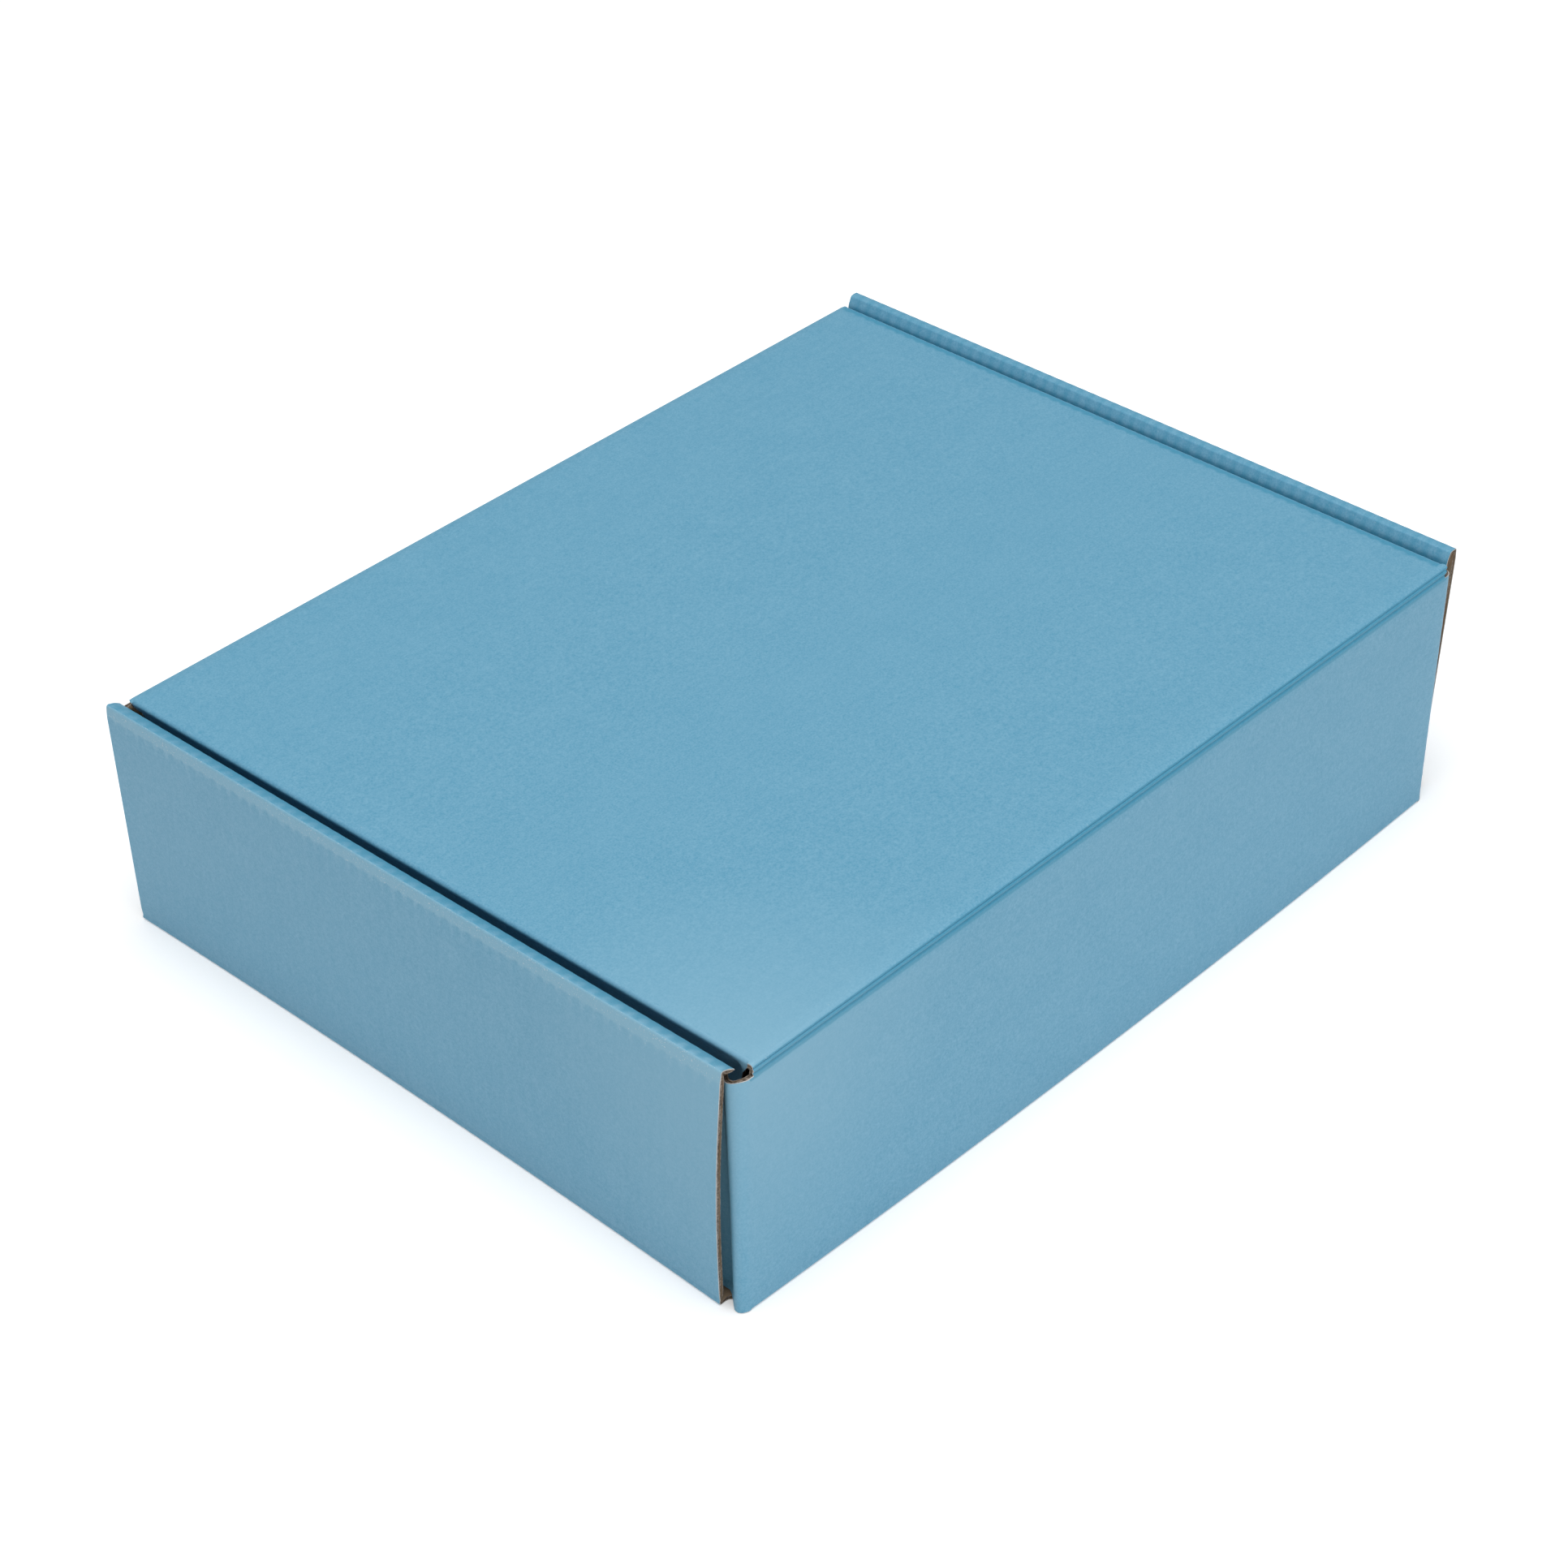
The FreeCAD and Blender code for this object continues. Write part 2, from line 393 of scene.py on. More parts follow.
def tray_settled(points, rolled):
    """The tray's points moved as this box has settled."""
    p = np.asarray(points, float)
    x, y, z = p.T
    sx, sy = x / HALF_WIDTH, y / HALF_DEPTH
    h = np.clip(z / ROLL_HEIGHT, 0.0, 1.0)
    low = (1 - h) ** 1.5
    ends = corner_shift(p, END_WALL_SETTLE)
    ends[:, 0] *= smooth(np.abs(y), *END_WALL_BAND)
    dip = smooth(y, *DIP_BAND) * smooth(x, *FLAP_BAND) * smooth(z, *FLAP_FOOT_BAND)
    ends[:, 0] -= FLAP_DIP * dip * (1.0 - smooth(y, *DIP_END_BAND))
    ends[:, 1] += BACK_FOOT_BOW * smooth(y, *BACK_FOOT_BAND) * (1 - sx**2) * low
    walls = corner_shift(p, SIDE_WALL_SETTLE)
    walls[:, 0] += SIDE_FOOT_BOW * smooth(x, *SIDE_FOOT_BAND) * (1 - sy**2) * low
    outer = smooth(x, *OUTER_PANEL_BAND) * smooth(y, *PANEL_END_BAND)
    walls[:, 0] += PANEL_END_BOW * outer * np.sin(math.pi * np.clip(h * 1.02, 0.0, 1.0))
    foot = np.where(x > 0, BEND_FOOT_LEFT, BEND_FOOT_RIGHT)
    share = np.maximum(smooth(np.abs(x) - foot, 0.0, 3.0), smooth(z, 0.2, 3.0))
    share = (share * np.asarray(rolled))[:, None]
    return p + ends * (1.0 - share) + walls * share


def lid_settled(points, rolled):
    """The lid's points moved as this box has settled, its dust flaps pulled in under it."""
    p = np.asarray(points, float)
    x, y, z = p.T
    moved = p + corner_shift(p, LID_SETTLE)
    under = smooth(LID_TOP - z, *DUST_TOP_BAND) * smooth(np.abs(x), *DUST_SIDE_BAND)
    under *= 1.0 - smooth(np.abs(y), *DUST_END_BAND)
    moved[:, 0] -= np.sign(x) * FLAP_TUCKED * under
    return moved


def hinge_settled(points, rolled):
    """The crease's points, between where the back wall and the lid have settled."""
    p = np.asarray(points, float)
    share = smooth(p[:, 2], BACK_TOP, LID_TOP - 0.5)[:, None]
    return tray_settled(p, rolled) * (1.0 - share) + lid_settled(p, rolled) * share


def rippled(face):
    """The printed face with its flutes showing through, strongest beside the folds."""
    flute = np.cos(2.0 * math.pi * np.array([f[1] for f in face.flat]) / FLUTE_PITCH)
    depth = RIPPLE + FOLD_RIPPLE * np.array(face.folds)
    return np.array(face.points) + np.array(face.sides) * ((1.0 - flute) * depth / 2.0)[:, None]


def rim_directions(face, base, free):
    """At each vertex of a cut edge: the way into the board, and whether flutes end there."""
    sides = np.array(face.sides)
    flat = np.array(face.flat)
    into = np.zeros((len(base), 3))
    across = np.zeros(len(base))
    for a, b in free:
        along = base[b] - base[a]
        inward = np.cross(-sides[a], along / np.linalg.norm(along))
        run = np.abs(flat[b] - flat[a]) * (2.0, 1.0)
        for v in (a, b):
            into[v] += inward
            across[v] += 0.5 if run[1] > run[0] else 0.0
    rim = sorted({v for pair in free for v in pair})
    length = np.linalg.norm(into, axis=1)
    slit_ends = {v for v in rim if length[v] < 0.6}
    for quad in face.faces:
        middle = base[quad].mean(axis=0)
        for v in slit_ends.intersection(quad):
            into[v] += (middle - base[v]) / np.linalg.norm(middle - base[v]) * 0.5
    length = np.maximum(np.linalg.norm(into, axis=1), 0.1)
    into[rim] /= np.maximum(length[rim] ** 2 / 2.0, 0.5)[:, None]
    return rim, into, across


def board_mesh(name, face, materials, shift):
    """A closed mesh of the folded board: printed face, kraft face and cut edges."""
    base = np.array(face.points)
    sides = np.array(face.sides)
    flat = np.array(face.flat)
    count = len(base)
    thick = BOARD - np.array(face.crushes) - np.array(face.pinches)
    edges = {}
    for quad in face.faces:
        for a, b in zip(quad, quad[1:] + quad[:1]):
            edges.setdefault(frozenset((a, b)), []).append((a, b))
    free = [pair[0] for pair in edges.values() if len(pair) == 1]
    rim, into, across = rim_directions(face, base, free)
    thick[rim] = np.maximum(thick[rim] - EDGE_PINCH, THINNEST_EDGE)
    inner = base + sides * thick[:, None]
    wander = np.random.default_rng(7).uniform(-0.2, 0.2, count)
    rim_ids = {}
    extra = []
    for v in rim:
        firm = max(0.08, 1.0 - face.crushes[v] / CRUSH)
        depth = (FLUTE_DEPTH if across[v] > 0.9 else PLAIN_EDGE_DEPTH + wander[v]) * firm
        start = 2 * count + len(extra)
        near, far = LINER, thick[v] - LINER
        for level, reach in ((near, 0.0), (near, depth), (far, depth), (far, 0.0)):
            extra.append(base[v] + sides[v] * level + into[v] * reach)
        rim_ids[v] = [v, start, start + 1, start + 2, start + 3, count + v]
    points = np.concatenate([rippled(face), inner, np.array(extra)])
    rolled = np.array(face.rolled)
    points = shift(points, np.concatenate([rolled, rolled, np.repeat(rolled[rim], 4)]))
    faces = [tuple(q) for q in face.faces]
    faces += [tuple(count + v for v in reversed(q)) for q in face.faces]
    kinds = [0] * len(face.faces) + [1] * len(face.faces)
    for a, b in free:
        for k, kind in enumerate((2, 1, 3, 1, 3)):
            faces.append((rim_ids[b][k], rim_ids[a][k], rim_ids[a][k + 1], rim_ids[b][k + 1]))
            kinds.append(kind)
    mesh = bpy.data.meshes.new(name)
    mesh.from_pydata([tuple(p * MM) for p in points], [], faces)
    for material in materials:
        mesh.materials.append(material)
    mesh.polygons.foreach_set("material_index", kinds)
    mesh.polygons.foreach_set("use_smooth", [True] * len(faces))
    levels = np.zeros((3, len(points)), np.float32)
    levels[:, :count] = np.array([face.folds, np.array(face.crushes) / CRUSH, face.tones])
    levels[:, count : 2 * count] = levels[:, :count]
    for label, values in zip(("fold", "crush", "tone"), levels):
        mesh.attributes.new(label, "FLOAT", "POINT").data.foreach_set("value", values)
    place = np.zeros((len(points), 3), np.float32)
    place[:count, :2] = flat
    place[count : 2 * count, :2] = flat
    for v, ids in rim_ids.items():
        place[ids[1:5], :2] = flat[v]
    mesh.attributes.new("flat", "FLOAT_VECTOR", "POINT").data.foreach_set("vector", place.ravel())
    mesh.set_sharp_from_angle(angle=math.radians(40.0))
    mesh.update()
    piece = bpy.data.objects.new(name, mesh)
    bpy.context.scene.collection.objects.link(piece)
    lines = [(a, b) for a, b in free if across[a] > 0.4 and across[b] > 0.4]
    return piece, (base, sides, into, flat, rolled, lines)


# Shared lines of the sheet's grids
RIPPLE_STEP = FLUTE_PITCH / 4.0
SLOT_EDGES = [
    side * (TAB_MIDDLE + end * (TAB_HALF + play))
    for side in (-1, 1)
    for end in (-1, 1)
    for play in (0.0, SLOT_PLAY)
]
Y_LINES = merged(spaced(-WALL_END, WALL_END, RIPPLE_STEP), SLOT_EDGES)
Y_LINES = [y for y in Y_LINES if y in SLOT_EDGES or min(abs(y - e) for e in SLOT_EDGES) > 0.1]


def slot_span(lean):
    """From where to where a slot reaches out across the bottom."""
    foot = leaning(HALF_WIDTH - ROLL_WIDTH, PANEL_FOOT, lean)
    end = leaning(HALF_WIDTH - ROLL_WIDTH, TAB_FOOT, lean)
    return end - SLOT_PLAY, foot + BOARD + SLOT_PLAY


def in_tab(y, play=0.0):
    """Whether a place along a side wall lies within a lock tab."""
    return abs(abs(y) - TAB_MIDDLE) < TAB_HALF + play


def tray_face():
    """The printed face of the tray, folded up."""
    face = PrintedFace()
    near_fold = [CREASE_REACH * share for share in CREASE_SHARES]
    x_lines = merged(
        spaced(-BEND_FOOT_RIGHT, BEND_FOOT_LEFT, 12.0),
        [BEND_FOOT_LEFT - gap for gap in near_fold],
        [gap - BEND_FOOT_RIGHT for gap in near_fold],
        [slot_span(LEAN_LEFT)[0], -slot_span(LEAN_RIGHT)[0]],
    )

    def floor_place(y, x):
        return (x, y, 0.0), (0.0, 0.0, 1.0), (x, y), 0.0, 0.0, 0.0, 0.0

    def floor_keep(y0, y1, x0, x1):
        """Leave the slots open."""
        x, y = (x0 + x1) / 2.0, (y0 + y1) / 2.0
        low = slot_span(LEAN_LEFT if x > 0 else LEAN_RIGHT)[0]
        return not (in_tab(y, SLOT_PLAY) and abs(x) > low)

    face.grid(Y_LINES, x_lines, floor_place, floor_keep)

    # The folds from the bottom into the end walls
    for end, top in ((1, BACK_TOP), (-1, FRONT_TOP)):
        corners = [(WALL_END, 0.0), (HALF_DEPTH, 0.0), (HALF_DEPTH, FLAP_FOOT)]
        line = folded_line(corners, (1.0, 0.5), (FOOT_RADIUS,))

        def bend_place(station, x, end=end):
            y, z = station.point
            side = (0.0, end * station.side[0], station.side[1])
            flat = (x, end * (WALL_END + station.run))
            return (x, end * y, z), side, flat, station.fold, 0.0, station.pinch, 0.0

        face.grid(line, x_lines, bend_place)
        end_wall(face, end, top, x_lines, WALL_END + line[-1].run)

    for side, lean, foot in ((1, LEAN_LEFT, BEND_FOOT_LEFT), (-1, LEAN_RIGHT, BEND_FOOT_RIGHT)):
        rolled_wall(face, side, lean, foot)
    return face


def end_wall(face, end, top, x_lines, flat_start):
    """A front or back wall with a corner flap round each end."""
    left = leaning(HALF_WIDTH - FLAP_INSET, FLAP_FOOT, LEAN_LEFT)
    right = leaning(HALF_WIDTH - FLAP_INSET, FLAP_FOOT, LEAN_RIGHT)
    plan = folded_line(
        [(left, FLAP_END), (left, HALF_DEPTH), (-right, HALF_DEPTH), (-right, FLAP_END)],
        (8.0, 400.0, 8.0),
        (CORNER_RADIUS, CORNER_RADIUS),
    )
    level = [s for s in plan if s.fold == 0.0 and abs(s.point[1] - HALF_DEPTH) < 1e-6]
    first, last = level[0], level[-1]
    middle = []
    for x in reversed(x_lines):
        gap = min(first.point[0] - x, x - last.point[0])
        run = first.run + first.point[0] - x
        crush = crush_at(gap) if gap > 0.05 else CRUSH
        middle.append(Station((x, HALF_DEPTH), first.side, 0.0, run, crush))
    start = plan.index(first)
    plan = plan[: start + 1] + middle + plan[plan.index(last) :]
    heights = merged(spaced(FLAP_FOOT, top, RIPPLE_STEP), [top - 0.4])
    hinge_reach = HINGE_HALF + CREASE_REACH
    corner_run = first.run

    def place(z, station):
        x, y = station.point
        share = (x + right) / (left + right)
        lean = LEAN_LEFT * share - LEAN_RIGHT * (1.0 - share)
        on_flap = y < HALF_DEPTH - CORNER_RADIUS
        drop = FLAP_DROP * float(smooth(HALF_DEPTH - y, 0.0, CORNER_RADIUS))
        cut = max(0.0, FLAP_TAPER - (y - FLAP_END)) if on_flap else 0.0
        rise = FLAP_RISE * float(smooth(WALL_END + 1.0 - y, 0.0, 1.5))
        past_bend = x > BEND_FOOT_LEFT + 0.05 or x < -BEND_FOOT_RIGHT - 0.05
        low = FLAP_FOOT - CORNER_LOW * past_bend * (1.0 - rise / FLAP_RISE) + rise + cut
        high = top - drop - cut
        height = low + (z - FLAP_FOOT) / (top - FLAP_FOOT) * (high - low)
        point = (x + lean * (height - FLAP_FOOT) / ROLL_HEIGHT, end * y, height)
        side = (station.side[0], end * station.side[1], 0.0)
        crush = 0.3 * station.crush * min(1.0, (z - FLAP_FOOT) / 2.5)
        tone = 0.0
        # Painted shade on the back wall just under the lid's crease
        if end > 0 and abs(x) <= hinge_reach and station.fold == 0.0 and y == HALF_DEPTH:
            fade = min(1.0, max(0.0, (hinge_reach - abs(x)) / CREASE_REACH))
            crush = max(crush, crush_at(HINGE_FOLD_FOOT - z) * fade)
            tone = -fade * near_crease(top - z, 1.6)
        flat = (corner_run - station.run, end * (flat_start + height))
        return point, side, flat, station.fold, crush, station.pinch, tone

    face.grid(heights, plan, place)


def rolled_wall(face, side, lean, foot):
    """A side wall: outer panel, top strip between two creases, inner panel with its tabs."""
    strip = [(HALF_WIDTH - inward, ROLL_HEIGHT - down) for inward, down in ROLL_STRIP[side]]
    strip_foot = strip[-1][1]
    corners = [
        (foot, 0.0),
        (HALF_WIDTH - lean, 0.0),
        (HALF_WIDTH, ROLL_HEIGHT),
        *strip,
        (leaning(HALF_WIDTH - ROLL_WIDTH, PANEL_FOOT, lean), PANEL_FOOT),
    ]
    radii = (FOOT_RADIUS, ROLL_RADIUS) + (ROLL_RADIUS,) * len(strip)
    line = folded_line(corners, (2.0, 6.0) + (0.6,) * len(strip) + (9.0,), radii)
    slot_end = slot_span(lean)[1]
    beside_slot = [s for s in line[1:] if s.point[1] <= 1e-6 and abs(s.point[0] - slot_end) <= 0.15]
    line = [s for s in line if s not in beside_slot]
    inside = [s for s in line if s.point[1] <= 1e-6 and s.point[0] < slot_end]
    line.insert(len(inside), Station((slot_end, 0.0), line[0].side, 0.0, slot_end - foot))
    over_slot = {id(s) for s in inside}
    # Painted highlight, partly crushed print, in a pale band under the outer crease; painted shade in
    # a deep band beside the inner crease
    for station in line:
        up = station.point[1]
        faces_out = station.side[0] < -0.45
        if up > TONED_ABOVE and faces_out:
            station.tone = near_crease(PALE_BAND_TOP - up, PALE_BAND_REACH)
        elif up > TONED_ABOVE:
            station.tone = -0.35 - 0.65 * near_crease(abs(strip_foot - 0.3 - up), DEEP_BAND_REACH)
    run = line[-1].run
    end = leaning(HALF_WIDTH - ROLL_WIDTH, TAB_FOOT, lean)
    line.append(Station((end, TAB_FOOT), line[-1].side, 0.0, run + PANEL_FOOT - TAB_FOOT))
    crease = max(i for i, s in enumerate(line) if s.fold > 0.0)
    inner_panel = {id(s) for s in line[crease + 1 :]}
    crease_height = line[crease + 1].point[1]

    def place(y, station):
        x, z = station.point
        if id(station) in inner_panel and y > TAPER_START:
            cut = PANEL_TAPER * min(1.0, max(0.0, (crease_height - z) / TAPER_REACH[side]))
            share = (y - TAPER_START) / (WALL_END - TAPER_START)
            y = TAPER_START + share * (WALL_END - cut - TAPER_START)
        out = (side * station.side[0], 0.0, station.side[1])
        flat = (side * (foot + station.run), y)
        crush = 0.0 if z < FOOT_RADIUS else station.crush
        return (side * x, y, z), out, flat, station.fold, crush, station.pinch, station.tone

    def keep(y0, y1, a, b):
        """Leave the slots open, and carry the inner panel below its foot at the tabs only."""
        y = (y0 + y1) / 2.0
        if id(a) in over_slot and in_tab(y, SLOT_PLAY):
            return False
        return b is not line[-1] or in_tab(y)

    face.grid(Y_LINES, line, place, keep, rolled=1.0)


# Where the lid's crease begins to turn, up the back wall and back along the lid
HINGE_FOLD_FOOT = LID_TOP - FOLD_RADIUS
HINGE_FOLD_HEAD = HALF_DEPTH - FOLD_RADIUS
# How far before the lid's front corner its tuck crease begins to turn
FRONT_REACH = FOLD_RADIUS * math.tan(math.atan2(TUCK_HEIGHT, TUCK_LEAN) / 2.0)


def column_crush(x, top_half):
    """How far the lid is crushed along its side creases."""
    return crush_at(top_half - abs(x))


def side_droop(x, top_half):
    """How far a lid edge that runs on past its side crease's start has turned down."""
    beyond = min(max(0.0, abs(x) - top_half), SIDE_RADIUS)
    return SIDE_RADIUS - math.sqrt(SIDE_RADIUS**2 - beyond**2)


def lid_face():
    """The printed face of the lid with its dust flaps and tuck flap."""
    face = PrintedFace()
    corners = [
        (LID_HALF - DUST_LEAN, LID_TOP - DUST_HEIGHT),
        (LID_HALF, LID_TOP),
        (-LID_HALF, LID_TOP),
        (-LID_HALF + DUST_LEAN, LID_TOP - DUST_HEIGHT),
    ]
    line = folded_line(corners, (6.0, 14.0, 6.0), (SIDE_RADIUS, SIDE_RADIUS))
    top = [s for s in line if abs(s.point[1] - LID_TOP) < 1e-6 and s.fold == 0.0]
    top_half = top[0].point[0]
    middle_run = (top[0].run + top[-1].run) / 2.0
    on_top = {id(s) for s in top}
    rows = spaced(DUST_FRONT, HINGE_LINE, RIPPLE_STEP)
    front_turn = -(LID_FRONT - FRONT_REACH)

    def edge_crush(y):
        """How far the lid is crushed along its hinge crease and its tuck crease."""
        return max(crush_at(HINGE_FOLD_HEAD - y), crush_at(y - front_turn))

    def place(y, station):
        x, z = station.point
        below = max(0.0, (LID_TOP - SIDE_RADIUS - z) / (DUST_HEIGHT - SIDE_RADIUS))
        notch = (HINGE_LINE - DUST_BACK) * float(smooth(LID_TOP - SIDE_RADIUS - z, 0.0, 6.0))
        low, high = DUST_FRONT + DUST_TAPER * below, HINGE_LINE - notch - DUST_TAPER * below
        squeezed = low + (y - DUST_FRONT) / (HINGE_LINE - DUST_FRONT) * (high - low)
        side = (station.side[0], 0.0, station.side[1])
        crush = max(station.crush, edge_crush(y)) if id(station) in on_top else station.crush
        flat = (middle_run - station.run, squeezed)
        # Painted shade along the side creases of the lid's top
        tone = side_tone(x) if id(station) in on_top else 0.0
        return (x, squeezed, z), side, flat, station.fold, crush, station.pinch, tone

    def side_tone(x):
        """Painted shade along the lid's side creases, most on the -X side."""
        if x < 0.0:
            return -near_crease(top_half + x, 3.2)
        return -0.3 * near_crease(top_half - x, 1.6)

    face.grid(rows, line, place)
    columns = merged([s.point[0] for s in top], [-HINGE_HALF, HINGE_HALF])

    corners = [
        (-DUST_FRONT, -LID_TOP),
        (LID_FRONT, -LID_TOP),
        (LID_FRONT - TUCK_LEAN, -(LID_TOP - TUCK_HEIGHT)),
    ]
    line = folded_line(corners, (0.5, RIPPLE_STEP), (FOLD_RADIUS,), open_ends=True)
    crease_end = max(i for i, s in enumerate(line) if s.fold > 0.0) + 1
    corner_run = line[crease_end].run

    def front_place(station, x):
        y, z = station.point
        turn = min(1.0, station.run / corner_run)
        half = HINGE_HALF - (HINGE_HALF - TUCK_HALF - 0.3) * (1.0 - math.sqrt(1.0 - 0.98 * turn**2))
        start = TUCK_HALF - 1.0
        if abs(x) > start:
            x = math.copysign(start + (abs(x) - start) / (HINGE_HALF - start) * (half - start), x)
        side = (0.0, -station.side[0], -station.side[1])
        crush = max(station.crush, column_crush(x, top_half) * (1.0 - turn))
        flat = (x, DUST_FRONT - station.run)
        height = -z - side_droop(x, top_half) * (1.0 - turn)
        return (x, -y, height), side, flat, station.fold, crush, station.pinch, 0.0

    face.grid(line[: crease_end + 1], columns, front_place)

    def tuck_place(station, share):
        y, z = station.point
        below = -z - (LID_TOP - TUCK_HEIGHT)
        rounding = max(0.0, 1.0 - below / TUCK_CORNER)
        half = TUCK_HALF - TUCK_CORNER * (1.0 - math.sqrt(max(0.0, 1.0 - rounding**2)))
        side = (0.0, -station.side[0], -station.side[1])
        flat = (half * share, DUST_FRONT - station.run)
        return (half * share, -y, -z), side, flat, station.fold, station.crush, station.pinch, 0.0

    shares = [-1.0] + [c / TUCK_HALF for c in columns if abs(c) < TUCK_HALF - 1.0] + [1.0]
    face.grid(line[crease_end:], shares, tuck_place)
    return face


def hinge_face():
    """The crease that joins the back wall to the lid."""
    face = PrintedFace()
    corners = [(HALF_DEPTH, BACK_TOP), (HALF_DEPTH, LID_TOP), (HINGE_LINE, LID_TOP)]
    line = folded_line(corners, (0.12, 0.3), (FOLD_RADIUS,), arc_steps=20, open_ends=True)
    side_turn = math.pi / 2.0 - math.atan2(DUST_LEAN, DUST_HEIGHT)
    top_half = LID_HALF - SIDE_RADIUS * math.tan(side_turn / 2.0)
    columns = merged(
        spaced(-HINGE_HALF, HINGE_HALF, 6.0),
        [side * (top_half - CREASE_REACH * share) for side in (-1, 1) for share in CREASE_SHARES],
    )
    length = line[-1].run

    def place(station, x):
        y, z = station.point
        side = (0.0, station.side[0], station.side[1])
        near = sum(math.exp(-(((station.run - at) / SCORE_WIDTH) ** 2)) for at in SCORE_LINES)
        crush = max(station.crush, column_crush(x, top_half) * (station.run / length) ** 2)
        z -= side_droop(x, top_half) * (station.run / length) ** 2
        # Painted shade over the crease's first 1.8 mm, fading out by 2.6 mm
        tone = -1.0 + float(smooth(station.run, 1.8, 2.6))
        flat = (x, station.run)
        crush += SCORE_DEPTH * near
        return (x, y, z), side, flat, station.fold, crush, station.pinch, tone

    face.grid(line, columns, place)
    return face


def fill(tree, slot, value):
    """Link a socket to a node's input, or set the input to a constant."""
    if isinstance(value, Socket):
        tree.links.new(value.out, slot)
    elif slot.type == "RGBA" and len(value) == 3:
        slot.default_value = (*value, 1.0)
    else:
        slot.default_value = value


def add_node(tree, kind, settings=None, output=0, **values):
    """Any node, its settings first and then its inputs. Returns one of its outputs.

    An input is named as in Blender with _ for a space, or by its number, such as _1.
    """
    node = tree.nodes.new(kind)
    for key, value in (settings or {}).items():
        setattr(node, key, value)
    for key, value in values.items():
        number = key[1:]
        slot = node.inputs[int(number) if number.isdigit() else key.replace("_", " ")]
        fill(tree, slot, value)
    return Socket(tree, node.outputs[output])


class Socket:
    """A node's output. Arithmetic on it adds Math nodes."""

    def __init__(self, tree, out):
        self.tree = tree
        self.out = out

    def _math(self, operation, *terms):
        inputs = {"_" + str(i): term for i, term in enumerate(terms)}
        return add_node(self.tree, "ShaderNodeMath", {"operation": operation}, **inputs)

    def __add__(self, other):
        return self._math("ADD", self, other)

    __radd__ = __add__

    def __sub__(self, other):
        return self._math("SUBTRACT", self, other)

    def __rsub__(self, other):
        return self._math("SUBTRACT", other, self)

    def __mul__(self, other):
        return self._math("MULTIPLY", self, other)

    __rmul__ = __mul__

    def __truediv__(self, other):
        return self._math("DIVIDE", self, other)

    def cosine(self):
        return self._math("COSINE", self)

    def clamped(self):
        return add_node(self.tree, "ShaderNodeClamp", _0=self)


class Finish:
    """A material under construction."""

    def __init__(self, name):
        self.material = bpy.data.materials.new(name)
        self.material.use_nodes = True
        self.tree = self.material.node_tree
        self.shader = self.tree.nodes["Principled BSDF"]

    def node(self, kind, settings=None, output=0, **values):
        """A node of this material."""
        return add_node(self.tree, kind, settings, output, **values)

    def place(self):
        """The piece's own coordinates, in metres."""
        return self.node("ShaderNodeTexCoord", output="Object")

    def attribute(self, name, output="Fac"):
        """A value that the mesh carries at each vertex."""
        return self.node("ShaderNodeAttribute", {"attribute_name": name}, output)

    def flutes(self):
        """A wave from -1 to 1 in step with the board's flutes."""
        run = self.node("ShaderNodeSeparateXYZ", output=1, _0=self.attribute("flat", "Vector"))
        return (run * (2.0 * math.pi / FLUTE_PITCH)).cosine()

    def noise(self, scale, detail=2.0, roughness=0.5, vector=None):
        place = vector or self.place()
        sizes = {"Scale": scale, "Detail": detail, "Roughness": roughness}
        return self.node("ShaderNodeTexNoise", Vector=place, **sizes)

    def mix(self, share, first, second):
        """A colour between two."""
        colour = {"data_type": "RGBA"}
        return self.node("ShaderNodeMix", colour, 2, _0=share, _6=first, _7=second)

    def stretched(self, scale):
        """The piece's coordinates scaled by axis."""
        return self.node("ShaderNodeMapping", Vector=self.place(), Scale=scale)

    def feed(self, **values):
        """Constants and links for the shader's own sockets."""
        for key, value in values.items():
            fill(self.tree, self.shader.inputs[key.replace("_", " ")], value)

    def relief(self, height, distance, strength=1.0):
        """Fine relief of the paper. The distance is in metres."""
        bump = self.node("ShaderNodeBump", Height=height, Distance=distance, Strength=strength)
        self.feed(Normal=bump)


# Colours in linear light
SKY = (0.135, 0.385, 0.560)
DEEP_SKY = (0.070, 0.290, 0.450)
PALE_SKY = (0.235, 0.470, 0.620)
# Painted shade for the deep crease bands, and a painted highlight, partly crushed print, for the pale
# band
CREASE_SHADE_SKY = (0.030, 0.270, 0.430)
CREASE_HIGHLIGHT_AND_WORN_SKY = (0.280, 0.510, 0.640)
WORN_WHITE = (0.66, 0.72, 0.75)
KRAFT = (0.290, 0.205, 0.130)
KRAFT_DARK = (0.185, 0.122, 0.074)
KRAFT_PALE = (0.400, 0.300, 0.205)
EDGE_WHITE = (0.74, 0.74, 0.73)
EDGE_GREY = (0.36, 0.35, 0.34)
MEDIUM_DARK = (0.095, 0.080, 0.068)
MEDIUM_PALE = (0.330, 0.280, 0.235)

# The lid's near corner, where a painted highlight makes the print a little paler than the rest, in
# metres
PAINTED_HIGHLIGHT_CORNER = (0.113, 0.094, 0.060)
PAINTED_HIGHLIGHT_REACH = 0.060


